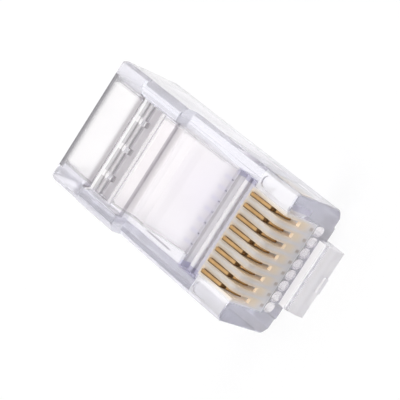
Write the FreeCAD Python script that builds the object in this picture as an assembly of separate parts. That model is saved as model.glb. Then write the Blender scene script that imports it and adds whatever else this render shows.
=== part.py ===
"""Clear modular plug with eight contacts in one row, as supplied, before it is crimped on a cable.

Every piece is built in the plug's own axes, in millimetres: +X runs to the nose, +Y across the
contact row and +Z from the latch side to the contact side. The nose face is x = 0, the latch side
is z = 0 and the middle of the row is y = 0. The last step lays the whole plug on its latch, as it
comes to rest on a table, and puts the origin under the middle of it.
"""
import math
import os

import FreeCAD
import Part

# ---- the row of contacts, which sets most other sizes -------------------------------------
CONTACTS = 8
PITCH = 1.016
BLADE_T = 0.34
BLADE_SIDE_GAP = 0.04
BLADE_REAR = -3.72
BLADE_FRONT = -0.80
BLADE_TOP = 6.95
BLADE_FALL = 0.30
BLADE_NOSE_Z = 4.60
BLADE_NOSE_R = 0.12
BLADE_SLANT = 0.65
BLADE_UNDERCUT = 1.15
NOTCH_X = -1.55
NOTCH_W = 0.16
NOTCH_DEPTH = 0.50
NOTCH_R = 0.05
BLADE_TIP = 2.85
TINE = 1.05
TINE_COUNT = 3

# ---- outside of the housing ---------------------------------------------------------------
BODY_W = 11.68
BODY_L = 21.46
NOSE_H = 6.60
REAR_H = 7.55
RAIL_H = 8.05
STEP_X = -12.85
RAIL_REAR = -17.70
RAIL_IN = 4.45
KEEL_HALF = 4.30
KEEL_STEP = 0.20
CHAMFER = 0.60
TOP_CHAMFER = 0.30
RAIL_CHAMFER = 0.55
EDGE_R = 0.20
REAR_CORNER_R = 0.60

# ---- hollows --------------------------------------------------------------------------------
CABLE_HALF = 4.25
CABLE_FLOOR = 0.80
CABLE_ROOF = 6.95
CABLE_R = 0.50
ENTRY_R = 0.90
ENTRY_LENGTH = 0.80
THROAT_REAR = -14.40
HALL_REAR = -13.00
HALL_FRONT = -11.60
HALL_ROOF = 5.80
NECK_X = -10.40
NECK_HALF = 4.15
NECK_ROOF = 4.60
NECK_R = 0.40
MOUTH_X = -7.70
MOUTH_HALF = 4.05
MOUTH_ROOF = 2.75
CHANNEL_W = 0.92
CHANNEL_FLOOR = 0.90
CHANNEL_ROOF = 2.05
NOSE_WALL = 0.30
SLOT_DIP = 0.30
SLOT_SILL = 4.40
SLOT_RAMP_X = -1.60
SLOT_RAMP_TOP = 3.45
SLOT_REAR_GAP = 0.08

# ---- conductor clamp bar, in its well behind the contacts -----------------------------------
WELL_REAR = -5.95
WELL_FRONT = -4.05
WELL_HALF = 4.50
WELL_FLOOR = 1.45
SLIDE_GAP = 0.05
BAR_FOOT = 2.95
BAR_RIDGE_Z = 6.20
BAR_DECK_Z = 5.90
BAR_HEEL_Z = 5.55
RIDGE_REAR = -5.36
RIDGE_FRONT = -4.90

# ---- cable clamp, a flap in the window behind the step --------------------------------------
WINDOW_REAR = -16.85
WINDOW_HALF = 4.30
CLAMP_PIVOT = (-14.85, 7.20)
KNUCKLE_GAP = 0.03
CLAMP_KNUCKLE_R = 0.28
CLAMP_REAR = -16.62
CLAMP_FOOT = 5.80
CLAMP_TOP = 7.30
CLAMP_HALF = 4.20
CLAMP_NECK = 0.75
TRAY_LIP = 0.38
TRAY_L = 1.05
TRAY_FLOOR = 6.90
PEG_W = 0.50
PEG_LENGTH = 0.75
PEG_H = 0.14
PEG_SPACING = 2.60

# ---- latch ----------------------------------------------------------------------------------
LATCH_HALF = 3.03
LATCH_PIVOT = (-0.80, -0.75)
LATCH_T = 0.70
LATCH_SLOPE_DEG = 10.5
SHOULDER = 7.30
SHOULDER_DROP = 0.75
TAIL_HALF = 1.62
TAIL_LENGTH = 13.40
TAIL_DROP = 0.80
TOE_X = 1.45
TOE_Z = -1.10
TOE_R = 0.30
SHELF_Z = 0.95
SHELF_FRONT = 0.75
GATE_HALF = 0.70
GATE_PROUD = 0.15

# ---- shallow recesses in the contact side ---------------------------------------------------
PANEL = (-10.70, -6.70, 4.10, 0.12)
PANEL_RAMP = 1.30
CHEEK = (-3.75, -0.40, 4.42, 5.42, 0.25)


def corner_arc(before, corner, after, radius):
    """Return the tangent points and the middle point of the arc that rounds one corner."""
    to_before = (before - corner).normalize()
    to_after = (after - corner).normalize()
    half = to_before.getAngle(to_after) / 2
    reach = radius / math.tan(half)
    bisector = (to_before + to_after).normalize()
    middle = corner + bisector * (radius / math.sin(half) - radius)
    return corner + to_before * reach, middle, corner + to_after * reach


def rounded_wire(points, radii):
    """Close a planar outline through points, with an arc of the given radius at each corner."""
    ends = []
    edges = []
    count = len(points)
    for i in range(count):
        corner = points[i]
        if radii[i] == 0:
            ends.append((corner, corner))
            continue
        start, middle, stop = corner_arc(points[i - 1], corner, points[(i + 1) % count], radii[i])
        edges.append(Part.Arc(start, middle, stop).toShape())
        ends.append((start, stop))
    for i in range(count):
        here = ends[i][1]
        there = ends[(i + 1) % count][0]
        if here.distanceToPoint(there) > 1e-6:
            edges.append(Part.makeLine(here, there))
    return Part.Wire(Part.__sortEdges__(edges))


def side_prism(outline, y_low, y_high):
    """Extrude an outline of (x, z, corner radius) across the plug."""
    points = [FreeCAD.Vector(x, y_low, z) for x, z, _ in outline]
    wire = rounded_wire(points, [r for _, _, r in outline])
    return Part.Face(wire).extrude(FreeCAD.Vector(0, y_high - y_low, 0))


def end_prism(outline, x_low, x_high):
    """Extrude an outline of (y, z, corner radius) along the plug."""
    points = [FreeCAD.Vector(x_low, y, z) for y, z, _ in outline]
    wire = rounded_wire(points, [r for _, _, r in outline])
    return Part.Face(wire).extrude(FreeCAD.Vector(x_high - x_low, 0, 0))


def plan_prism(outline, z_low, z_high):
    """Extrude an outline of (x, y, corner radius) upwards."""
    points = [FreeCAD.Vector(x, y, z_low) for x, y, _ in outline]
    wire = rounded_wire(points, [r for _, _, r in outline])
    return Part.Face(wire).extrude(FreeCAD.Vector(0, 0, z_high - z_low))


def block(x_low, x_high, y_low, y_high, z_low, z_high):
    """Make a plain box from its limits."""
    corner = FreeCAD.Vector(x_low, y_low, z_low)
    return Part.makeBox(x_high - x_low, y_high - y_low, z_high - z_low, corner)


def cross_rod(pivot, radius, half):
    """Make a cylinder across the plug, centred on a pivot (x, z)."""
    start = FreeCAD.Vector(pivot[0], -half, pivot[1])
    return Part.makeCylinder(radius, 2 * half, start, FreeCAD.Vector(0, 1, 0))


def contact_y(index):
    """Give the y of one contact, counted from the +Y end of the row."""
    return PITCH * ((CONTACTS - 1) / 2 - index)


def mirrored(half_outline):
    """Complete a (y, z, r) outline that was given for +Y only, from bottom to top."""
    other = [(-y, z, r) for y, z, r in reversed(half_outline)]
    return half_outline + other


def body_section(top, chamfer):
    """Outline the outside of the housing across the plug, up to a flat top with chamfered edges."""
    half = BODY_W / 2
    return mirrored([
        (KEEL_HALF, 0.0, 0.0),
        (KEEL_HALF + 0.05, KEEL_STEP, 0.0),
        (half - CHAMFER, KEEL_STEP, EDGE_R),
        (half, KEEL_STEP + CHAMFER, EDGE_R),
        (half, top - chamfer, EDGE_R),
        (half - chamfer, top, EDGE_R),
    ])


def railed_section():
    """Outline the stretch with a raised rail on each side of the top."""
    outside = body_section(RAIL_H, RAIL_CHAMFER)
    rails = outside[:len(outside) // 2]
    return mirrored(rails + [(RAIL_IN, RAIL_H, EDGE_R), (RAIL_IN - 0.12, REAR_H, 0.08)])


def housing_blank():
    """Make the solid outside of the housing, with every outer edge rounded."""
    tall = RAIL_H + 1.0
    nose = end_prism(body_section(NOSE_H, TOP_CHAMFER), STEP_X - 0.5, 1.0)
    nose_side = [(0.0, -1.0, 0), (0.0, NOSE_H, EDGE_R), (STEP_X - 0.5, NOSE_H, 0),
                 (STEP_X - 0.5, -1.0, 0)]
    nose = nose.common(side_prism(nose_side, -BODY_W, BODY_W))
    rear = end_prism(body_section(REAR_H, TOP_CHAMFER), -BODY_L - 1.0, STEP_X)
    rear_side = [(-BODY_L, -1.0, 0), (-BODY_L, REAR_H, EDGE_R), (STEP_X, REAR_H, EDGE_R),
                 (STEP_X, -1.0, 0)]
    rear = rear.common(side_prism(rear_side, -BODY_W, BODY_W))
    railed = end_prism(railed_section(), RAIL_REAR - 0.5, STEP_X)
    rail_side = [(RAIL_REAR, -1.0, 0), (RAIL_REAR, RAIL_H, 0.4), (STEP_X, RAIL_H, EDGE_R),
                 (STEP_X, -1.0, 0)]
    railed = railed.common(side_prism(rail_side, -BODY_W, BODY_W))
    half = BODY_W / 2
    plan = plan_prism([(0.0, -half, EDGE_R), (0.0, half, EDGE_R),
                       (-BODY_L, half, REAR_CORNER_R), (-BODY_L, -half, REAR_CORNER_R)], -1.0, tall)
    return nose.fuse([rear, railed]).removeSplitter().common(plan)


def rectangle_wire(x, half, z_low, z_high, radius):
    """Make a rounded rectangle across the plug, as one section of a tapering hollow."""
    corners = [(-half, z_low), (half, z_low), (half, z_high), (-half, z_high)]
    points = [FreeCAD.Vector(x, y, z) for y, z in corners]
    return rounded_wire(points, [radius] * 4)


def cable_hollow():
    """Make the space for the cable jacket, its taper and the funnel to the wire channels."""
    sections = [
        rectangle_wire(-BODY_L, CABLE_HALF, CABLE_FLOOR, CABLE_ROOF, ENTRY_R),
        rectangle_wire(ENTRY_LENGTH - BODY_L, CABLE_HALF, CABLE_FLOOR, CABLE_ROOF, CABLE_R),
        rectangle_wire(THROAT_REAR, CABLE_HALF, CABLE_FLOOR, CABLE_ROOF, CABLE_R),
        rectangle_wire(HALL_REAR, CABLE_HALF, CABLE_FLOOR, HALL_ROOF, CABLE_R),
        rectangle_wire(HALL_FRONT, CABLE_HALF, CABLE_FLOOR, HALL_ROOF, CABLE_R),
        rectangle_wire(NECK_X, NECK_HALF, CHANNEL_FLOOR, NECK_ROOF, NECK_R),
        rectangle_wire(MOUTH_X, MOUTH_HALF, CHANNEL_FLOOR, MOUTH_ROOF, NECK_R),
    ]
    pieces = []
    for before, after in zip(sections, sections[1:]):
        pieces.append(Part.makeLoft([before, after], True, True))
    return pieces[0].fuse(pieces[1:])


def wire_channel(y):
    """Make one channel: a trough open to the funnel, then a round-sided hole under the contact."""
    half = CHANNEL_W / 2
    radius = half - 0.01
    trough = end_prism([(y - half, MOUTH_ROOF, 0), (y - half, CHANNEL_FLOOR, radius),
                        (y + half, CHANNEL_FLOOR, radius), (y + half, MOUTH_ROOF, 0)],
                       MOUTH_X - 0.01, WELL_FRONT)
    hole = end_prism([(y - half, CHANNEL_ROOF, radius), (y - half, CHANNEL_FLOOR, radius),
                      (y + half, CHANNEL_FLOOR, radius), (y + half, CHANNEL_ROOF, radius)],
                     WELL_REAR, -NOSE_WALL)
    return trough.fuse(hole)


def contact_slot(y):
    """Make the slot of one contact: down to the channel, up a ramp, and out over a nose sill."""
    half = BLADE_T / 2 + BLADE_SIDE_GAP
    top = NOSE_H + 1.0
    rear = BLADE_REAR - SLOT_REAR_GAP
    floor = CHANNEL_ROOF - SLOT_DIP
    slot = side_prism([(rear, floor, 0), (SLOT_RAMP_X, floor, 0), (-NOSE_WALL, SLOT_RAMP_TOP, 0),
                       (-NOSE_WALL, top, 0), (rear, top, 0)], y - half, y + half)
    mouth = block(-NOSE_WALL, 1.0, y - half, y + half, SLOT_SILL, top)
    return slot.fuse(mouth)


def clamp_well():
    """Make the well of the conductor clamp bar, which cuts the walls between the wires low."""
    return block(WELL_REAR, WELL_FRONT, -WELL_HALF, WELL_HALF, WELL_FLOOR, NOSE_H + 1.0)


def cable_window():
    """Make the window of the cable clamp, with the round seat that its knuckle turns in."""
    sill = CABLE_ROOF - CABLE_R
    window = block(WINDOW_REAR, CLAMP_PIVOT[0], -WINDOW_HALF, WINDOW_HALF, sill, RAIL_H + 1.0)
    seat = cross_rod(CLAMP_PIVOT, CLAMP_KNUCKLE_R + KNUCKLE_GAP, WINDOW_HALF)
    ramp = side_prism([(WINDOW_REAR - 0.60, REAR_H + 0.1, 0), (WINDOW_REAR - 0.55, REAR_H, 0.9),
                       (WINDOW_REAR + 0.02, REAR_H - 0.32, 0), (WINDOW_REAR + 0.02, REAR_H + 0.1, 0)],
                      -WINDOW_HALF, WINDOW_HALF)
    return window.fuse([seat, ramp])


def panel_recess():
    """Make the shallow recess between the step and the clamp well, which runs out at both ends."""
    rear, front, half, depth = PANEL
    outline = [(rear, NOSE_H, 0), (rear + PANEL_RAMP, NOSE_H - depth, 0),
               (front - PANEL_RAMP, NOSE_H - depth, 0), (front, NOSE_H, 0),
               (front, NOSE_H + 1.0, 0), (rear, NOSE_H + 1.0, 0)]
    return side_prism(outline, -half, half)


def cheek_pockets():
    """Make the pocket beside each end of the row: round-ended behind, running out forwards."""
    rear, front, inner, outer, depth = CHEEK
    radius = (outer - inner) / 2 - 0.01
    wedge = side_prism([(rear - 0.1, NOSE_H - depth, 0), (front, NOSE_H, 0),
                        (front, NOSE_H + 1.0, 0), (rear - 0.1, NOSE_H + 1.0, 0)], -BODY_W, BODY_W)
    pockets = []
    for side in (-1, 1):
        outline = [(rear, side * inner, radius), (rear, side * outer, radius),
                   (front, side * outer, radius), (front, side * inner, radius)]
        pockets.append(plan_prism(outline, NOSE_H - depth, NOSE_H + 1.0).common(wedge))
    return pockets


def latch_root():
    """Make the root that carries the latch in front of the nose, with the gate mark on its toe."""
    pivot_x = LATCH_PIVOT[0]
    outline = [(pivot_x, 0.50, 0), (pivot_x, TOE_Z, 0), (TOE_X, TOE_Z, TOE_R),
               (TOE_X - 0.08, SHELF_Z - 0.85, 0.6), (SHELF_FRONT, SHELF_Z, 0.3), (-0.5, SHELF_Z, 0)]
    root = side_prism(outline, -LATCH_HALF, LATCH_HALF)
    gate = block(TOE_X - 0.5, TOE_X + GATE_PROUD, -GATE_HALF, GATE_HALF, TOE_Z + TOE_R, TOE_Z + 0.75)
    seat = cross_rod(LATCH_PIVOT, LATCH_T / 2 + KNUCKLE_GAP, LATCH_HALF + 0.1)
    return root.fuse(gate).cut(seat)


def housing():
    """Make the moulded housing: the blank with its hollows cut and the latch root added."""
    rows = [contact_y(i) for i in range(CONTACTS)]
    cuts = [cable_hollow(), clamp_well(), cable_window(), panel_recess()]
    cuts += cheek_pockets()
    cuts += [wire_channel(y) for y in rows]
    cuts += [contact_slot(y) for y in rows]
    return housing_blank().fuse(latch_root()).cut(cuts).removeSplitter()


def blade_tines():
    """Outline the tines under a blade, from its front to its rear, as (x, z, r) points."""
    foot = BLADE_TIP + TINE
    shoulder = BLADE_TIP + TINE / 3
    tines_front = BLADE_FRONT - BLADE_UNDERCUT
    pitch = (tines_front - BLADE_REAR) / TINE_COUNT
    points = []
    for i in range(TINE_COUNT):
        front = tines_front - i * pitch
        points.append((front, foot, 0))
        points.append((front - pitch * 0.28, shoulder, 0))
        points.append((front - pitch * 0.50, BLADE_TIP, 0))
        points.append((front - pitch * 0.72, shoulder, 0))
    return points


def contact(index):
    """Make one contact blade: a straight top, a notched brow, a slanting nose and tines below."""
    foot = BLADE_TIP + TINE
    brow = BLADE_TOP - BLADE_FALL
    ledge = brow - NOTCH_DEPTH
    outline = [
        (BLADE_REAR, foot, 0),
        (BLADE_REAR, BLADE_TOP, BLADE_NOSE_R),
        (NOTCH_X, brow, BLADE_NOSE_R),
        (NOTCH_X + NOTCH_W / 2, ledge, NOTCH_R),
        (NOTCH_X + 3 * NOTCH_W / 2, ledge, NOTCH_R),
        (NOTCH_X + 2 * NOTCH_W, ledge - NOTCH_DEPTH / 2, NOTCH_R),
        (BLADE_FRONT, BLADE_NOSE_Z + BLADE_SLANT, 2 * BLADE_NOSE_R),
        (BLADE_FRONT, BLADE_NOSE_Z, BLADE_NOSE_R),
    ]
    y = contact_y(index)
    return side_prism(outline + blade_tines(), y - BLADE_T / 2, y + BLADE_T / 2)


def conductor_clamp():
    """Make the bar that is pressed on the wires behind the contacts."""
    rear = WELL_REAR + SLIDE_GAP
    front = WELL_FRONT - SLIDE_GAP
    outline = [(rear, BAR_FOOT, 0.15), (front, BAR_FOOT, 0.15), (front, BAR_DECK_Z, 0.08),
               (RIDGE_FRONT, BAR_DECK_Z, 0.05), (RIDGE_FRONT, BAR_RIDGE_Z, 0.06),
               (RIDGE_REAR, BAR_RIDGE_Z, 0.06), (rear, BAR_HEEL_Z, 0.08)]
    half = WELL_HALF - SLIDE_GAP
    return side_prism(outline, -half, half)


def cable_clamp():
    """Make the clamp flap: a bar on a round knuckle, with a flat tray and three pegs on top."""
    pivot_x, pivot_z = CLAMP_PIVOT
    lip_x = CLAMP_REAR + TRAY_LIP
    tray_x = lip_x + TRAY_L
    outline = [(CLAMP_REAR, CLAMP_FOOT, 0.25), (pivot_x - CLAMP_NECK, CLAMP_FOOT, 0.25),
               (pivot_x - 0.30, pivot_z - 0.20, 0), (pivot_x, pivot_z - 0.20, 0),
               (pivot_x, CLAMP_TOP, 0), (tray_x + 0.15, CLAMP_TOP, 0.08), (tray_x, TRAY_FLOOR, 0.08),
               (lip_x, TRAY_FLOOR, 0.08), (lip_x, CLAMP_TOP, 0.06), (CLAMP_REAR, CLAMP_TOP, 0.12)]
    bar = side_prism(outline, -CLAMP_HALF, CLAMP_HALF)
    knuckle = cross_rod(CLAMP_PIVOT, CLAMP_KNUCKLE_R, CLAMP_HALF)
    pegs = []
    for i in (-1, 0, 1):
        y = i * PEG_SPACING
        pegs.append(block(CLAMP_REAR + 0.05, CLAMP_REAR + PEG_LENGTH, y - PEG_W / 2, y + PEG_W / 2,
                          TRAY_FLOOR - 0.2, CLAMP_TOP + PEG_H))
    return bar.fuse([knuckle] + pegs).removeSplitter()


def latch_lever():
    """Make the lever with its locking shoulders and tail, sloping away from the housing."""
    pivot_x, pivot_z = LATCH_PIVOT
    top = pivot_z + LATCH_T / 2
    bottom = pivot_z - LATCH_T / 2
    shoulder_x = pivot_x - SHOULDER
    tail_x = pivot_x - TAIL_LENGTH
    strip = [(pivot_x, top, 0), (pivot_x, bottom, 0), (pivot_x - 2.5, bottom, 2.0),
             (shoulder_x + 0.9, pivot_z - SHOULDER_DROP, 0.8), (shoulder_x, pivot_z - SHOULDER_DROP, 0.12),
             (shoulder_x, top, 0.12)]
    tail = [(shoulder_x + 0.8, top, 0), (shoulder_x + 0.8, bottom - 0.25, 0),
            (tail_x + 3.5, bottom - 0.25, 2.0), (tail_x, pivot_z - TAIL_DROP, TOE_R),
            (tail_x, top, 0.25)]
    knuckle = cross_rod(LATCH_PIVOT, LATCH_T / 2, LATCH_HALF)
    lever = side_prism(strip, -LATCH_HALF, LATCH_HALF)
    lever = lever.fuse([side_prism(tail, -TAIL_HALF, TAIL_HALF), knuckle]).removeSplitter()
    lever.rotate(FreeCAD.Vector(pivot_x, 0, pivot_z), FreeCAD.Vector(0, 1, 0), -LATCH_SLOPE_DEG)
    return lever


def rest_tilt_deg():
    """Give the nose-down tilt at which the toe of the root and the heel of the tail both touch."""
    pivot_x, pivot_z = LATCH_PIVOT
    slope = math.radians(LATCH_SLOPE_DEG)
    along = TAIL_LENGTH - TOE_R
    drop = TAIL_DROP - TOE_R
    heel_x = pivot_x - along * math.cos(slope) + drop * math.sin(slope)
    heel_z = pivot_z - along * math.sin(slope) - drop * math.cos(slope)
    toe_x = TOE_X - TOE_R
    toe_z = TOE_Z + TOE_R
    return math.degrees(math.atan2(toe_z - heel_z, toe_x - heel_x))


def lie_on_latch(pieces):
    """Tilt the pieces to rest on toe and heel, and centre them over the origin."""
    tilt = rest_tilt_deg()
    for shape in pieces.values():
        shape.rotate(FreeCAD.Vector(0, 0, 0), FreeCAD.Vector(0, 1, 0), tilt)
    extent = Part.makeCompound(list(pieces.values())).optimalBoundingBox(False)
    shift = FreeCAD.Vector(-extent.Center.x, 0, -extent.ZMin)
    for shape in pieces.values():
        shape.translate(shift)
    print(f"rest tilt {tilt:.4f} deg, plug origin at {shift.x:.4f}, 0, {shift.z:.4f} mm")


def main():
    """Build every piece, lay the plug down and write one STEP file for each piece."""
    pieces = {"housing": housing(), "latch_lever": latch_lever(),
              "cable_clamp": cable_clamp(), "conductor_clamp": conductor_clamp()}
    for index in range(CONTACTS):
        pieces[f"contact_{index + 1}"] = contact(index)
    lie_on_latch(pieces)
    os.makedirs("parts", exist_ok=True)
    for name, shape in pieces.items():
        shape.exportStep(f"parts/{name}.step")
        print(f"{name}: {shape.Volume:.2f} mm3, {len(shape.Solids)} solid, valid {shape.isValid()}")


main()
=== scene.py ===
# %% [markdown]
# # A clear modular plug, dressed for its portrait
# The plug is the small clear connector that is crimped on a network cable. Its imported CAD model
# gives every size and every moving body. This file only adds what a CAD model lacks: how clear
# plastic bends and dims light, how plated contacts shine, the softened edges of a moulding, and
# a table, lamps and a camera. It is read from top to bottom, a cell at a time.

import math

import bmesh
import bpy
import numpy as np
from mathutils import Matrix, Vector


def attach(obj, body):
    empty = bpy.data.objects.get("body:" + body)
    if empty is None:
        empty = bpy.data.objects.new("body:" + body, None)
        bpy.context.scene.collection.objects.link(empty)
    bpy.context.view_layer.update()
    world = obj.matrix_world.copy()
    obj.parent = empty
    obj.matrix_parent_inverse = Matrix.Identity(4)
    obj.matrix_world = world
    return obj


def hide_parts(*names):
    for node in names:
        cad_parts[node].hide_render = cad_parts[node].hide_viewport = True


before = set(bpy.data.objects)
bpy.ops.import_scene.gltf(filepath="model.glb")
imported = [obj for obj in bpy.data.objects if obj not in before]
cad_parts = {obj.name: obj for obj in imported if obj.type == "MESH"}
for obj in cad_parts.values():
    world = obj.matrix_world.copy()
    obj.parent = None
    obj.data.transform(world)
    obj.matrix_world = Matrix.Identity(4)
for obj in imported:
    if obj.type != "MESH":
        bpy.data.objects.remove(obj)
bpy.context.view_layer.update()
MM = 0.001

# %% [markdown]
# ## The camera
# The plug lies on a table and is seen from in front of its nose and from above, so that the
# contact row faces the camera. A long lens stands well back, which keeps parallel edges nearly
# parallel. The camera could be given as a matrix, but two angles round a target and a roll about
# the line of sight say more plainly where it stands, and each can be changed by itself.

# %% Camera
TARGET = Vector((-1.287, -0.470, 5.0)) * MM
DISTANCE = 153.3 * MM
AZIMUTH = math.radians(102.10)
ELEVATION = math.radians(41.10)
ROLL = math.radians(65.34)
LENS = 168.7
SENSOR_WIDTH = 36.0
NEAREST = 0.01
FARTHEST = 20.0


def camera_turn(azimuth, elevation, roll):
    """Give the camera's rotation: right, up and back axes as the columns of a matrix."""
    back = Vector((math.sin(azimuth) * math.cos(elevation),
                   -math.cos(azimuth) * math.cos(elevation), math.sin(elevation)))
    level = Vector((0, 0, 1)).cross(back).normalized()
    plumb = back.cross(level)
    right = level * math.cos(roll) - plumb * math.sin(roll)
    up = plumb * math.cos(roll) + level * math.sin(roll)
    return Matrix((right, up, back)).transposed()


def add_camera():
    """Create the scene's camera, DISTANCE from TARGET along its back axis."""
    turn = camera_turn(AZIMUTH, ELEVATION, ROLL)
    data = bpy.data.cameras.new("camera")
    data.lens = LENS
    data.sensor_width = SENSOR_WIDTH
    data.clip_start = NEAREST
    data.clip_end = FARTHEST
    camera = bpy.data.objects.new("camera", data)
    place = TARGET + turn @ Vector((0, 0, DISTANCE))
    camera.matrix_world = Matrix.Translation(place) @ turn.to_4x4()
    bpy.context.scene.collection.objects.link(camera)
    bpy.context.scene.camera = camera
    return camera


camera = add_camera()
print("camera at", [round(v / MM, 1) for v in camera.matrix_world.translation], "mm")

# %% [markdown]
# ## Arithmetic for shaders
# A material is a tree of nodes, but a pattern is easier to read as a formula. `Signal` wraps one
# socket, so that `1 - mask * 0.3` adds the Math nodes by itself. A mask is a Signal that is 1
# inside a place on the plug and 0 outside it, and masks multiply where both have to hold.

# %% Signal
class Signal:
    """One output of a node, with ordinary arithmetic on it where it is a number."""

    def __init__(self, finish, socket):
        self.finish = finish
        self.socket = socket

    def math(self, operation, *others):
        """Send this number and the others through one Math node."""
        values = dict(enumerate((self,) + others))
        return self.finish.node("ShaderNodeMath", {"operation": operation}, values)

    def __add__(self, other):
        return self.math("ADD", other)

    def __sub__(self, other):
        return self.math("SUBTRACT", other)

    def __rsub__(self, other):
        return self.finish.node("ShaderNodeMath", {"operation": "SUBTRACT"}, {0: other, 1: self})

    def __mul__(self, other):
        return self.math("MULTIPLY", other)

    def __truediv__(self, other):
        return self.math("DIVIDE", other)

    __radd__ = __add__
    __rmul__ = __mul__

    def step(self, low, high):
        """Rise smoothly from 0 at low to 1 at high."""
        settings = {"interpolation_type": "SMOOTHSTEP"}
        values = {"Value": self, "From Min": low, "From Max": high}
        return self.finish.node("ShaderNodeMapRange", settings, values)

    def fall(self, low, high):
        """Fall smoothly from 1 at low to 0 at high."""
        return 1 - self.step(low, high)

    def band(self, low, high, soft):
        """Be 1 between low and high, and 0 outside, with edges `soft` wide."""
        half = soft / 2
        return self.step(low - half, low + half) * self.fall(high - half, high + half)


def greatest(*masks):
    """Join masks: give the greatest of them at every spot."""
    joined = masks[0]
    for mask in masks[1:]:
        joined = joined.math("MAXIMUM", mask)
    return joined


print("signals ready")

# %% [markdown]
# ## The nodes of a finish
# `Finish` holds the nodes of one material, or of the air in the room. Its `node` method adds any
# node that isn't plain arithmetic: its settings go in first, and then the numbers or Signals of
# its sockets. The other methods are short names for the few nodes that come back in each finish.

# %% Finish
class Finish:
    """The nodes of one material, or of the air in the room."""

    def __init__(self, owner, output="ShaderNodeOutputMaterial"):
        owner.use_nodes = True
        self.owner = owner
        self.tree = owner.node_tree
        self.tree.nodes.clear()
        self.output = self.tree.nodes.new(output)

    def node(self, kind, settings=None, values=None, out=0):
        """Add a node, set it up, feed its sockets with numbers or Signals, and return one output."""
        made = self.tree.nodes.new(kind)
        for name, value in (settings or {}).items():
            setattr(made, name, value)
        for key, value in (values or {}).items():
            if isinstance(value, Signal):
                self.tree.links.new(value.socket, made.inputs[key])
            else:
                made.inputs[key].default_value = value
        return Signal(self, made.outputs[out])

    def place(self):
        """Give the Object coordinates, which are metres in the scene's frame for every piece."""
        return self.node("ShaderNodeTexCoord", out="Object")

    def axis(self, vector, letter):
        """Give one part of a vector: its X, Y or Z."""
        return self.node("ShaderNodeSeparateXYZ", None, {0: vector}, letter)

    def noise(self, scale, detail=3.0, roughness=0.5, where=None):
        """Give fractal noise from 0 to 1, with about `scale` blobs a metre."""
        values = {"Vector": where or self.place(), "Scale": scale, "Detail": detail,
                  "Roughness": roughness}
        return self.node("ShaderNodeTexNoise", None, values, "Fac")

    def blend(self, share, first, second):
        """Mix two colours by a share from 0 to 1."""
        return self.node("ShaderNodeMix", {"data_type": "RGBA"}, {0: share, 6: first, 7: second}, 2)

    def bump(self, strength, distance, height):
        """Give the surface direction of fine relief, `distance` metres high."""
        values = {"Strength": strength, "Distance": distance, "Height": height}
        return self.node("ShaderNodeBump", None, values)

    def principled(self, **values):
        """Add the general surface shader. Words in socket names are joined by underscores here."""
        sockets = {name.replace("_", " "): value for name, value in values.items()}
        return self.node("ShaderNodeBsdfPrincipled", None, sockets, "BSDF")

    def ray(self, kind):
        """Be 1 for light paths of one kind, such as Is Camera Ray, and 0 for the others."""
        return self.node("ShaderNodeLightPath", out=kind)

    def cover(self, share, under, over):
        """Cover one shader with another by a share from 0 to 1."""
        return self.node("ShaderNodeMixShader", None, {0: share, 1: under, 2: over})

    def show(self, shader, inside=None):
        """Send a shader to the surface, and one to the inside, and return the material or air."""
        self.tree.links.new(shader.socket, self.output.inputs["Surface"])
        if inside:
            self.tree.links.new(inside.socket, self.output.inputs["Volume"])
        return self.owner


print("finish helpers ready")

# %% [markdown]
# ## The plug's own axes
# The plug rests on its latch with its nose down, so the moulding lies tilted in the scene. Places
# on it are simpler along its own axes: x runs forward to the nose face, y across the contact row
# and z from the latch side to the contact side. All are in millimetres, with 0 at the nose face,
# at the middle of the row and at the latch side. One Mapping node turns the scene's coordinates
# back into these.

# %% Plug axes
REST_TILT = math.radians(10.8645)
REST_SHIFT = Vector((9.785, 0.0, 1.2985))


def plug_axes(finish):
    """Give x, y and z in millimetres along the plug's own axes."""
    back = Matrix.Rotation(-REST_TILT, 3, "Y") @ -REST_SHIFT
    values = {"Vector": finish.place(), "Location": back, "Rotation": (0.0, -REST_TILT, 0.0),
              "Scale": (1 / MM, 1 / MM, 1 / MM)}
    turned = finish.node("ShaderNodeMapping", None, values)
    return [finish.axis(turned, letter) for letter in "XYZ"]


print("tilt in degrees:", round(math.degrees(REST_TILT), 2))

# %% [markdown]
# ## Clear moulded plastic
# The housing, the latch and both clamps are one shot of clear polycarbonate, which bends light
# strongly. Thin walls look almost white and thick ones lavender, and that comes from absorption
# inside the solid. The surface says the rest: where the mould was polished or matt, where fine
# texture makes it cloudy, and where gold or a dark hollow behind it lends it a colour, which is
# laid on as painted reflection and painted shade. Those places could be painted on an image, but
# masks need none and are placed in millimetres.
#
# Each place has a few named ranges. Three numbers, such as `COMB_X`, are a band: its two ends and
# the width of its soft edges. Two numbers, such as `COMB_FLOOR`, are where a mask begins and ends
# its rise or its fall. The first masks serve all the others: `inner` is the width inside the
# rails, `row` the row of contacts, `side` the distance from the middle plane and `aside` that
# from the nearest contact.

# %% Bands across the plug
PITCH = 1.016
INNER_Y = (-4.5, 4.5, 0.1)
ROW_Y = (-4.1, 4.1, 0.1)


def off_contact(y):
    """Give the distance in mm from the middle of the nearest contact, as a Signal."""
    return ((y / PITCH).math("FRACT") - 0.5) * PITCH


plastic = Finish(bpy.data.materials.new("clear_plastic"))
x, y, z = plug_axes(plastic)
side = y.math("ABSOLUTE")
aside = off_contact(y).math("ABSOLUTE")
inner = y.band(*INNER_Y)
row = y.band(*ROW_Y)
print("contact row", round((ROW_Y[1] - ROW_Y[0]) / PITCH, 1), "contacts wide")

# %% [markdown]
# ### Polished and matt walls
# Only the outer walls of the mould are polished. The cable entry with its wire channels, the comb
# of slots and ribs round the contacts, the toe of the latch root and the conductor clamp come out
# matt, and what is seen through a matt wall is blurred. A roughness for the whole plug would be
# simpler, but then either the outside looks frosted or the hollows look wet. A faint haze of wear
# varies the gloss of both.

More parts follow.
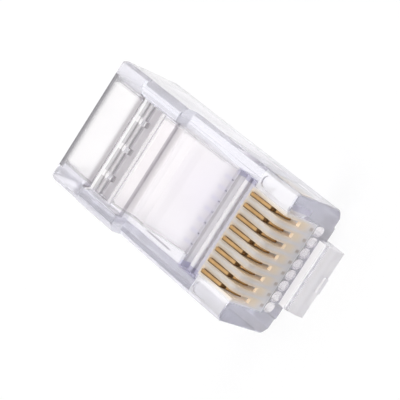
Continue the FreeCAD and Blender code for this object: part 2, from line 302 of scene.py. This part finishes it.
# %% Matt walls
POLISHED = 0.08
MATT = 0.30
WEAR = 0.05
WORN_HAZE = (0.45, 0.85)
ROOF_Z = 6.2
ROOF_EDGE = (0.0, 0.1)
ENTRY_RISE = 0.9
ENTRY_END = (-13.3, -13.0)
HOLLOW_FLOOR = (0.4, 0.6)
HOLLOW_END = (-4.0, -3.9)
COMB_X = (-4.1, 0.4, 0.2)
COMB_FLOOR = (2.2, 2.4)
TOE_START = (0.0, 0.1)
TOE_TOP = (0.60, 0.80)
CLAMP_BAR_X = (-6.0, -4.0, 0.05)
CLAMP_BAR_Z = (1.0, 6.45, 0.1)

roof = ROOF_Z + x.fall(*ENTRY_END) * ENTRY_RISE
hollow = inner * (roof - z).step(*ROOF_EDGE) * z.step(*HOLLOW_FLOOR) * x.fall(*HOLLOW_END)
comb = x.band(*COMB_X) * row * z.step(*COMB_FLOOR)
toe = x.step(*TOE_START) * z.fall(*TOE_TOP)
clamp_bar = x.band(*CLAMP_BAR_X) * inner * z.band(*CLAMP_BAR_Z)
matt_walls = greatest(hollow, comb, toe, clamp_bar)
haze = plastic.noise(scale=2600.0, detail=4.0, roughness=0.6)
roughness = POLISHED + haze.step(*WORN_HAZE) * WEAR + matt_walls * MATT
print("matt: hollow, comb, latch toe, clamp bar")

# %% [markdown]
# ### The comb of contacts
# Gold glows amber through the rib beside each blade, and here that amber is a painted reflection
# of the gold. In front of a blade its slot ends in a short ramp, which looks milky, and below that
# the foot of the blade shows as a small brown dot through the nose wall, which is painted on too.
# Refraction alone gives too little of this in parts so small. These masks repeat with the
# contacts, so one formula serves all eight.

# %% Comb
GLOW_ASIDE = (0.22, 0.60)
GLOW_RISE = (2.4, 4.0)
SLOT_ASIDE = (0.20, 0.30)
SLOT_RAMP_X = (-1.6, -0.02, 0.04)
SLOT_RAMP_Z = (3.2, 4.6, 0.1)
FOOT_ASIDE = (0.06, 0.22)
FOOT_X = (-0.1, 0.1, 0.05)
FOOT_Z = (2.50, 2.95, 0.2)

# painted reflection of the gold, amber on the ribs beside each blade
glow = aside.fall(*GLOW_ASIDE) * comb * z.step(*GLOW_RISE)
slot_ramp = aside.fall(*SLOT_ASIDE) * x.band(*SLOT_RAMP_X) * z.band(*SLOT_RAMP_Z) * row
# painted brown dot where the foot of a blade is seen through the nose wall
foot = aside.fall(*FOOT_ASIDE) * z.band(*FOOT_Z) * x.band(*FOOT_X) * row
print("comb: glow, slot ramps, blade feet")

# %% [markdown]
# ### The cable window
# Behind the step a window opens over the cable clamp. The flap has a sunk tray with a few pegs in
# front of its raised lip. The tray gets painted shade for the dark hollow under it, most of all
# toward the nose. Pegs and lip are cloudy instead, so they stand out as they do on a real plug.

# %% Cable window
PEG_SPACING = 2.6
PEG_EDGE = (0.25, 0.30)
PEG_X = (-17.05, -16.30, 0.04)
PEG_FLOOR = (6.8, 6.95)
LIP_X = (-17.24, -17.04, 0.04)
LIP_FLOOR = (6.6, 6.8)
TRAY_X = (-17.04, -14.95, 0.06)
TRAY_Z = (6.80, 7.35, 0.05)
TRAY_SHADE = 0.45
TRAY_FRONT_SHADE = 0.35
TRAY_FRONT = (-16.3, -15.9)

off_peg = ((y / PEG_SPACING + 0.5).math("FRACT") - 0.5).math("ABSOLUTE") * PEG_SPACING
pegs = off_peg.fall(*PEG_EDGE) * x.band(*PEG_X) * inner
peg_tops = pegs * z.step(*PEG_FLOOR)
lip = x.band(*LIP_X) * inner * z.step(*LIP_FLOOR)
tray = x.band(*TRAY_X) * inner * z.band(*TRAY_Z) * (1 - pegs)
# painted shade on the tray, deeper toward the nose
tray_shade = tray * (TRAY_SHADE + x.step(*TRAY_FRONT) * TRAY_FRONT_SHADE)
print("window: pegs, lip, tray")

# %% [markdown]
# ### Thick edges of the roof
# A thick edge bends the view so far round that it shows the dusk of the room. Three of them get a
# painted dark reflection of that dusk: the sill that slopes from the rear roof down to the window,
# the brow of the step in front of it, and the rear rim over the cable entry. The painted darkness
# on the sill rises slowly at first, so its rise is multiplied by itself.

# %% Roof edges
SILL_RISE = (-18.3, -17.6)
SILL_END = (-17.32, -17.24)
SILL_FLOOR = (7.0, 7.1)
BROW_X = (-13.06, -12.84, 0.03)
BROW_FLOOR = (7.30, 7.34)
RIM_END = (-21.10, -20.70)
RIM_FLOOR = (6.9, 7.0)

slope = x.step(*SILL_RISE)
sill = slope * slope * x.fall(*SILL_END) * z.step(*SILL_FLOOR)
brow = x.band(*BROW_X) * z.step(*BROW_FLOOR)
# painted dark reflection along the sill and the brow
dark_edges = greatest(sill, brow) * inner
# where the rear rim gets its painted dark reflection, and where it turns cloudy
rim = x.fall(*RIM_END) * inner * z.step(*RIM_FLOOR)
print("roof edges: sill, brow, rim")

# %% [markdown]
# ### The well and the wire channels
# The conductor clamp lies in a well behind the contacts. Its rear ridge is milky, its front deck
# and the ends of the well get a painted dusky shade, and the brink of the well a grey line of
# painted shade. Behind the well, deep inside, a funnel leads the wires into their channels, whose
# mouths get painted shade, most of all in between.

# %% Well
RIDGE_X = (-5.96, -5.05, 0.06)
RIDGE_Z = (5.3, 6.45, 0.1)
DECK_X = (-4.82, -4.05, 0.04)
DECK_Z = (5.8, 6.0, 0.1)
WELL_END_SIDE = (4.02, 4.60, 0.04)
WELL_END_X = (-6.1, -3.9, 0.05)
WELL_END_Z = (0.9, 6.7, 0.1)
BRINK_X = (-6.20, -5.90, 0.10)
BRINK_FLOOR = (6.0, 6.2)
FUNNEL_Z = (0.5, 5.2, 0.2)
MOUTH_X = (-8.2, -6.0, 1.4)
BETWEEN_ASIDE = (0.20, 0.45)
BETWEEN_X = (-8.3, -7.5, 0.4)
BETWEEN_Y = (-3.7, 3.7, 0.2)

ridge = x.band(*RIDGE_X) * inner * z.band(*RIDGE_Z)
# the deck, the ends and brink of the well, the mouths and the gaps between them carry painted shade
deck = x.band(*DECK_X) * inner * z.band(*DECK_Z)
well_ends = side.band(*WELL_END_SIDE) * x.band(*WELL_END_X) * z.band(*WELL_END_Z)
brink = x.band(*BRINK_X) * inner * z.step(*BRINK_FLOOR)
funnel = row * z.band(*FUNNEL_Z)
mouths = x.band(*MOUTH_X) * funnel
between = aside.step(*BETWEEN_ASIDE) * x.band(*BETWEEN_X) * y.band(*BETWEEN_Y) * funnel
print("well: ridge, deck, ends, brink; funnel: mouths, between")

# %% [markdown]
# ### The sunk panel
# Between the step and the well the top is sunk by a tenth of a millimetre. The panel has a crease
# along each side, drawn as a line of painted shade, one plainer than the other, and a ramp at its
# rear with painted shade that leaves it barely darker.

# %% Panel
PANEL_FLOOR = (6.30, 6.35)
PANEL_TOP = (7.0, 7.1)
PLAIN_CREASE_Y = (-4.16, -4.04, 0.03)
PLAIN_CREASE = 0.9
FAINT_CREASE_Y = (4.04, 4.16, 0.03)
FAINT_CREASE = 0.35
CREASE_X = (-10.6, -7.6, 0.5)
RAMP_X = (-10.70, -9.95, 0.3)

panel = z.step(*PANEL_FLOOR) * z.fall(*PANEL_TOP)
# painted shade along the creases, one stronger than the other
side_lines = y.band(*PLAIN_CREASE_Y) * PLAIN_CREASE + y.band(*FAINT_CREASE_Y) * FAINT_CREASE
creases = side_lines * x.band(*CREASE_X) * panel
ramp = x.band(*RAMP_X) * inner * panel
print("panel: creases, ramp")

# %% [markdown]
# ### The nose and the outer corners
# In front of the nose stands the root of the latch, with a narrow shelf on top and two painted
# highlights below it: cloudy white ovals on its toe for the lamps' reflections in its curve. A
# pocket is sunk in the cheek at each end of the comb, and the rear ends of the side rails are a
# little cloudy.

# %% Nose and corners
SHELF_X = (0.04, 0.62, 0.04)
SHELF_FLOOR = (0.86, 0.90)
SHELF_TOP = (1.0, 1.1)
SHELF_SIDE = (-1.0, 3.0, 0.1)
HIGH_HIGHLIGHT_Y = (0.95, 2.2, 0.3)
HIGH_HIGHLIGHT_Z = (-0.55, -0.10, 0.15)
LOW_HIGHLIGHT_Y = (-1.75, -0.65, 0.3)
LOW_HIGHLIGHT_Z = (-0.85, -0.40, 0.15)
TOE_FACE = (1.1, 1.2)
CHEEK_X = (-3.9, -0.2, 0.1)
CHEEK_SIDE = (4.1, 5.75, 0.1)
CHEEK_FLOOR = (5.6, 5.8)
RAIL_SIDE = (4.3, 4.6)
RAIL_END = (-18.6, -18.2)

shelf = x.band(*SHELF_X) * z.step(*SHELF_FLOOR) * z.fall(*SHELF_TOP) * side.band(*SHELF_SIDE)
# two painted highlights on the toe of the latch root, made cloudy white
high_toe_highlight = y.band(*HIGH_HIGHLIGHT_Y) * z.band(*HIGH_HIGHLIGHT_Z)
low_toe_highlight = y.band(*LOW_HIGHLIGHT_Y) * z.band(*LOW_HIGHLIGHT_Z)
painted_toe_highlights = (high_toe_highlight + low_toe_highlight) * x.step(*TOE_FACE)
cheeks = x.band(*CHEEK_X) * side.band(*CHEEK_SIDE) * z.step(*CHEEK_FLOOR)
rail_ends = side.step(*RAIL_SIDE) * x.fall(*RAIL_END)
print("nose: shelf, dimples, cheeks; rear: rail ends")

# %% [markdown]
# ### Tints, laid one over the other
# The plastic itself is almost white, with slow streaks from its flow into the mould, and the top
# between the window and the well is a little warmer. The washes after that are painted light and
# shade: amber for a painted reflection of the gold, brown for the painted blade feet, and grey,
# lavender and dark for painted shade and dark reflections. Each tint goes over the last like a wash
# of paint, by the share that its mask gives, and a weight below 1 leaves a wash thin. One Mix node a
# wash keeps the order plain: a later wash, such as the dark rim, wins where two of them meet.

# %% Tints
def rgb(red, green, blue):
    """Give an opaque colour."""
    return (red, green, blue, 1.0)


CLEAR = rgb(0.99, 0.974, 0.970)
STREAK = rgb(0.975, 0.960, 0.958)
WARM = rgb(0.985, 0.955, 0.935)
# From here down the colours are painted: the amber a painted reflection of the gold, the brown the
# painted blade feet, and the greys, the lavender and the dark painted shade.
AMBER = rgb(1.0, 0.86, 0.66)
SHADE_GREY = rgb(0.37, 0.34, 0.36)
SHADE_LAVENDER = rgb(0.58, 0.56, 0.68)
SEEN_FOOT_BROWN = rgb(0.35, 0.25, 0.16)
DARK = rgb(0.22, 0.21, 0.23)
STREAK_EDGE = (0.3, 0.7)
TOP_FLOOR = (6.1, 6.3)
TOP_X = (-14.5, -6.0, 0.5)

top_walls = inner * z.step(*TOP_FLOOR) * x.band(*TOP_X)
WASHES = [(top_walls, WARM),
          (glow, AMBER),
          (greatest(tray_shade, dark_edges), SHADE_GREY),
          (greatest(brink * 0.45, mouths * 0.7), SHADE_GREY),
          (greatest(creases, ramp * 0.10), SHADE_GREY),
          (greatest(well_ends, between * 0.8, deck * 0.6), SHADE_LAVENDER),
          (foot * 0.6, SEEN_FOOT_BROWN),
          (rim * 0.9, DARK)]

flow = plastic.noise(scale=420.0, detail=2.0)
colour = plastic.blend(flow.step(*STREAK_EDGE), CLEAR, STREAK)
for share, tint in WASHES:
    colour = plastic.blend(share, colour, tint)
print(len(WASHES), "washes over the clear colour")

# %% [markdown]
# ### Clear, cloudy and deep
# Clear walls let most light through. Cloudy places are covered, by the share that `cloud` gives,
# with an opaque surface of the same colour. Light that a clear body focuses on the table is slow
# to compute, so shadow rays pass straight through instead and lose a little of their light, which
# keeps the shadow pale. The absorption inside has one colour and density for the whole plug.

# %% Clear plastic
POLYCARBONATE_IOR = 1.585
TRANSMISSION = 0.86
CLOUDY_ROUGHNESS = 0.5
RELIEF_STRENGTH = 0.05
RELIEF_HEIGHT = 0.02 * MM
HAZE_RELIEF = 0.15
SHADOW_TINT = rgb(0.93, 0.93, 0.96)
ABSORPTION_TINT = rgb(0.40, 0.44, 0.75)
ABSORPTION_DENSITY = 30.0
CLOUDY_PLACES = [(comb, 0.35), (slot_ramp, 0.7), (peg_tops, 0.6), (lip, 0.8), (tray, 0.5),
                 (rim, 0.6), (ridge, 0.6), (deck, 0.6), (toe, 0.45), (shelf, 0.9),
                 (painted_toe_highlights, 0.9), (cheeks, 0.35), (rail_ends, 0.12)]

cloud = greatest(*[place * share for place, share in CLOUDY_PLACES])
relief = plastic.bump(RELIEF_STRENGTH, RELIEF_HEIGHT, flow + haze * HAZE_RELIEF)
glass = plastic.principled(Base_Color=colour, Roughness=roughness, IOR=POLYCARBONATE_IOR,
                           Transmission_Weight=TRANSMISSION, Normal=relief)
milk = plastic.principled(Base_Color=colour, Roughness=CLOUDY_ROUGHNESS, IOR=POLYCARBONATE_IOR,
                          Normal=relief)
passing = plastic.node("ShaderNodeBsdfTransparent", None, {"Color": SHADOW_TINT})
surface = plastic.cover(plastic.ray("Is Shadow Ray"), plastic.cover(cloud, glass, milk), passing)
depth = plastic.node("ShaderNodeVolumeAbsorption", None,
                     {"Color": ABSORPTION_TINT, "Density": ABSORPTION_DENSITY})
PLASTIC = plastic.show(surface, depth)
print("made", PLASTIC.name, "with", len(plastic.tree.nodes), "nodes")

# %% [markdown]
# ## Plated contacts
# Each contact is phosphor bronze under a thin flash of gold. The wiping top is bright, with duller
# patches. Toward the nose it is painted browner, as painted shade where the blade lies low in its
# slot, and the edge that was rolled over by the punch and the notch across the blade are painted
# nearly black, as painted shade and dark reflection. Fine streaks from the punch vary the gloss. A
# plain metal with one colour would shine as well, but all eight would look like toys.

# %% Gold plating
BRIGHT_GOLD = rgb(0.60, 0.38, 0.18)
BROWN_GOLD = rgb(0.40, 0.24, 0.10)
DARK_GOLD = rgb(0.10, 0.05, 0.02)
PATCH_EDGE = (0.30, 0.7)
NOSE_START = (-1.15, -0.95)
ROLLED_EDGE = (-0.13, -0.05)
NOTCH_X = (-1.56, -1.34, 0.05)
STREAK_STRETCH = (6.0, 1.0, 0.6)
STREAK_STRENGTH = 0.15
STREAK_HEIGHT = 0.01 * MM


def gold_plating(name):
    """Make plated metal: a bright wiping top, painted shade on the rolled edge and notch, and a
    browner nose in painted shade.
    """
    finish = Finish(bpy.data.materials.new(name))
    x, y, _ = plug_axes(finish)
    patches = finish.noise(scale=1500.0)
    stretched = finish.node("ShaderNodeMapping", None,
                            {"Vector": finish.place(), "Scale": STREAK_STRETCH})
    streaks = finish.noise(scale=3000.0, detail=2.0, roughness=0.6, where=stretched)
    # The browner nose and the nearly black rolled edge and notch are painted shade.
    nose = x.step(*NOSE_START)
    rolled_edge_shade = off_contact(y).fall(*ROLLED_EDGE) * (1 - nose * 0.5)
    shade = greatest(rolled_edge_shade, x.band(*NOTCH_X)) * 0.9
    colour = finish.blend(patches.step(*PATCH_EDGE) * 0.5, BRIGHT_GOLD, BROWN_GOLD)
    colour = finish.blend(nose * 0.8, colour, BROWN_GOLD)
    colour = finish.blend(shade, colour, DARK_GOLD)
    metal = finish.principled(Base_Color=colour, Metallic=1.0, Roughness=0.16 + streaks * 0.16,
                              Normal=finish.bump(STREAK_STRENGTH, STREAK_HEIGHT, streaks))
    return finish.show(metal)


GOLD = gold_plating("gold_contact")
print("made", GOLD.name)

# %% [markdown]
# ## Merged meshes
# A CAD node's mesh is loose triangles, and the node itself stays untouched. A copy is merged, and
# its flat triangles are joined into whole faces, so that later steps meet only the true edges of
# the moulding. Modelling each piece anew in Blender could look as good, but the copy keeps every
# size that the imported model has.

# %% Merge
MERGE_DISTANCE = 1e-7
FLAT_ANGLE = math.radians(0.5)


def merged_mesh(node, name):
    """Copy a CAD node's mesh with its doubled points merged and its flat faces joined."""
    work = bmesh.new()
    work.from_mesh(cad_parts[node].data)
    bmesh.ops.remove_doubles(work, verts=work.verts, dist=MERGE_DISTANCE)
    bmesh.ops.dissolve_limit(work, angle_limit=FLAT_ANGLE, verts=work.verts, edges=work.edges)
    mesh = bpy.data.meshes.new(name)
    work.to_mesh(mesh)
    work.free()
    return mesh


print("ready to merge", len(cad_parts), "nodes")

# %% [markdown]
# ## Rounded ribs
# Seven ribs stand between the eight contacts. Each has a long round front, where the nose of the
# CAD housing has only a small rounded edge. The points of that edge are bent along a longer curve
# in front of the contact row. Cutting the corner off with a boolean would do the same, but leaves
# ragged faces, and bending keeps the mesh as it is.

# %% Rounded ribs
NOSE_HEIGHT = 6.60
EDGE_RADIUS = 0.20
EDGE_MARGIN = 0.01
RIBS_HALF = 3.6
RIB_TOP_X = -0.8
RIB_FRONT_Z = 5.3


def round_ribs(mesh):
    """Bend the front edge of the ribs between contacts into a quarter ellipse, in plug axes.

    The edge arc x = r sin a - r, z = top - r + r cos a, of radius r, becomes the arc from
    (RIB_TOP_X, top) to (0, RIB_FRONT_Z): x = RIB_TOP_X times (1 - sin a), and z = RIB_FRONT_Z
    plus (top - RIB_FRONT_Z) cos a. Returns how many points were bent.
    """
    spots = np.empty(len(mesh.vertices) * 3)
    mesh.vertices.foreach_get("co", spots)
    turn = np.array(Matrix.Rotation(REST_TILT, 3, "Y"))
    plug = (spots.reshape(-1, 3) / MM - np.array(REST_SHIFT)) @ turn
    x, y, z = plug.T
    reach = EDGE_RADIUS + EDGE_MARGIN
    edge = (x > -reach) & (z > NOSE_HEIGHT - reach) & (np.abs(y) < RIBS_HALF)
    angle = np.arctan2(x + EDGE_RADIUS, z - NOSE_HEIGHT + EDGE_RADIUS)
    x[edge] = (RIB_TOP_X * (1 - np.sin(angle)))[edge]
    z[edge] = (RIB_FRONT_Z + (NOSE_HEIGHT - RIB_FRONT_Z) * np.cos(angle))[edge]
    spots = (np.stack((x, y, z), axis=1) @ turn.T + np.array(REST_SHIFT)) * MM
    mesh.vertices.foreach_set("co", spots.ravel())
    mesh.update()
    return int(edge.sum())


print("ribs", round(RIB_FRONT_Z, 2), "mm high at the nose face")

# %% [markdown]
# ## Dressed pieces
# No moulded or punched edge is perfectly sharp, and each one catches a thin highlight. A Bevel
# modifier gives that to every edge sharper than 40 degrees, a few hundredths of a millimetre wide,
# and smooth shading joins the faces of the round parts. Each piece then rides on the body of the
# node that it replaces, so it moves with the joint.

# %% Pieces
SHARP_ANGLE = math.radians(32)
BEVEL_ANGLE = math.radians(40)
BEVEL_SEGMENTS = 2


def dress(mesh, node, body, bevel, material):
    """Make a merged mesh a piece, with edges bevelled by `bevel` mm, that replaces its node."""
    for attribute in [a for a in mesh.attributes if a.name == "custom_normal"]:
        mesh.attributes.remove(attribute)
    mesh.shade_smooth()
    mesh.set_sharp_from_angle(angle=SHARP_ANGLE)
    mesh.materials.clear()
    mesh.materials.append(material)
    piece = bpy.data.objects.new(mesh.name, mesh)
    bpy.context.scene.collection.objects.link(piece)
    edge = piece.modifiers.new("edge", "BEVEL")
    edge.width = bevel * MM
    edge.segments = BEVEL_SEGMENTS
    edge.limit_method = "ANGLE"
    edge.angle_limit = BEVEL_ANGLE
    edge.harden_normals = True
    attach(piece, body)
    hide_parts(node)


PLASTIC_PIECES = [("housing", "housing_shell", "housing", 0.04),
                  ("latch_lever", "latch_strip", "latch", 0.08),
                  ("cable_clamp", "cable_flap", "cable_clamp", 0.05),
                  ("conductor_clamp", "wire_bar", "conductor_clamp", 0.05)]
for node, name, body, bevel in PLASTIC_PIECES:
    mesh = merged_mesh(node, name)
    if node == "housing":
        print("rib points bent:", round_ribs(mesh))
    dress(mesh, node, body, bevel, PLASTIC)
    print(name, len(mesh.polygons), "faces")

# %% [markdown]
# ## Eight blades
# The blades are alike, but each is pressed on its own slide, so each is a piece of its own. A loop
# makes them from their own nodes.

# %% Blades
BLADE_BEVEL = 0.03

for number in range(1, 9):
    node = f"contact_{number}"
    mesh = merged_mesh(node, f"blade_{number}")
    dress(mesh, node, node, BLADE_BEVEL, GOLD)
print("8 blades,", len(mesh.polygons), "faces each")

# %% [markdown]
# ## The table
# The table is white paper with a fine grain. A clear plug shows little but what is round it, so
# the paper near it has to look white through the plug and in its walls. For the rays that look at
# it, straight, mirrored or bent, a plain white glow covers most of it, and what is left of the
# paper keeps a soft shadow. Stronger lamps would also whiten it, but would bleach the plug. The
# glow fades out further off.

# %% Table
TABLE_HALF = 1.5
PAPER_WHITE = rgb(0.955, 0.955, 0.96)
PAPER_GRAIN = rgb(0.93, 0.93, 0.935)
PAPER_ROUGHNESS = 0.8
PAPER_SHEEN = 0.2
WHITE = rgb(1.0, 1.0, 1.0)
GLOW_FADE = (30.0, 60.0)
GLOW_SHARE = 0.85


def paper():
    """Make white paper with a fine grain, which glows white near the plug for rays that see it."""
    finish = Finish(bpy.data.materials.new("paper"))
    colour = finish.blend(finish.noise(scale=9000.0), PAPER_GRAIN, PAPER_WHITE)
    sheet = finish.principled(Base_Color=colour, Roughness=PAPER_ROUGHNESS,
                              Specular_IOR_Level=PAPER_SHEEN)
    glow = finish.node("ShaderNodeEmission", None, {"Color": WHITE, "Strength": 1.0})
    across, along = [finish.axis(finish.place(), letter) for letter in "XY"]
    away = (across * across + along * along).math("SQRT") / MM
    seen = greatest(finish.ray("Is Camera Ray"), finish.ray("Is Glossy Ray"),
                    finish.ray("Is Transmission Ray"))
    return finish.show(finish.cover(seen * away.fall(*GLOW_FADE) * GLOW_SHARE, sheet, glow))


def add_table():
    """Lay a large white sheet under the plug."""
    mesh = bpy.data.meshes.new("table")
    corners = [(-TABLE_HALF, -TABLE_HALF, 0), (TABLE_HALF, -TABLE_HALF, 0),
               (TABLE_HALF, TABLE_HALF, 0), (-TABLE_HALF, TABLE_HALF, 0)]
    mesh.from_pydata(corners, [], [(0, 1, 2, 3)])
    mesh.materials.append(paper())
    table = bpy.data.objects.new("table", mesh)
    bpy.context.scene.collection.objects.link(table)


add_table()
print("table", 2 * TABLE_HALF, "m wide")

# %% [markdown]
# ## The air in the room
# Edges of clear plastic are drawn by what they mirror and bend into view. The air is white
# overhead and falls to a dusky lavender at the horizon, and that dusk is what outlines the plug.
# Black cards round a white tent do this in a studio. The camera itself sees plain white, so the
# ground behind the plug stays white from any side.

# %% Air
HORIZON = rgb(0.16, 0.155, 0.19)
SKY_RISE = (0.05, 0.75)


def add_air():
    """Fill the room with light that falls from WHITE overhead to HORIZON at eye level."""
    air = Finish(bpy.data.worlds.new("air"), "ShaderNodeOutputWorld")
    height = air.axis(air.node("ShaderNodeTexCoord", out="Generated"), "Z")
    share = greatest(height.step(*SKY_RISE), air.ray("Is Camera Ray"))
    colour = air.blend(share, HORIZON, WHITE)
    bpy.context.scene.world = air.show(air.node("ShaderNodeBackground", None, {"Color": colour}))


add_air()
print("air ready")

# %% [markdown]
# ## The lamps
# Two soft square lamps add what even air can't: a highlight along each bevel, a shine on the gold
# and a faint shadow. The key hangs in front of the nose on one side, and a weaker fill opposite.

# %% Lamps
LAMP_SIZE = 0.12


def add_lamp(name, place, power):
    """Hang a square soft lamp at `place` (metres), aimed at the plug."""
    data = bpy.data.lights.new(name, "AREA")
    data.size = LAMP_SIZE
    data.energy = power
    lamp = bpy.data.objects.new(name, data)
    spot = Vector(place)
    aim = (spot - TARGET).to_track_quat("Z", "Y")
    lamp.matrix_world = Matrix.Translation(spot) @ aim.to_matrix().to_4x4()
    bpy.context.scene.collection.objects.link(lamp)


add_lamp("key", place=(0.10, -0.25, 0.45), power=0.6)
add_lamp("fill", place=(0.05, 0.35, 0.30), power=0.3)
print("lamps ready")

# %% [markdown]
# ## Light paths
# Light crosses many clear walls on its way through the plug, so paths may be long: with few
# bounces the middle of the plug would turn black.

# %% Light paths
MOST_BOUNCES = 32

scene = bpy.context.scene
scene.view_settings.view_transform = "Standard"
scene.cycles.max_bounces = MOST_BOUNCES
scene.cycles.transmission_bounces = MOST_BOUNCES
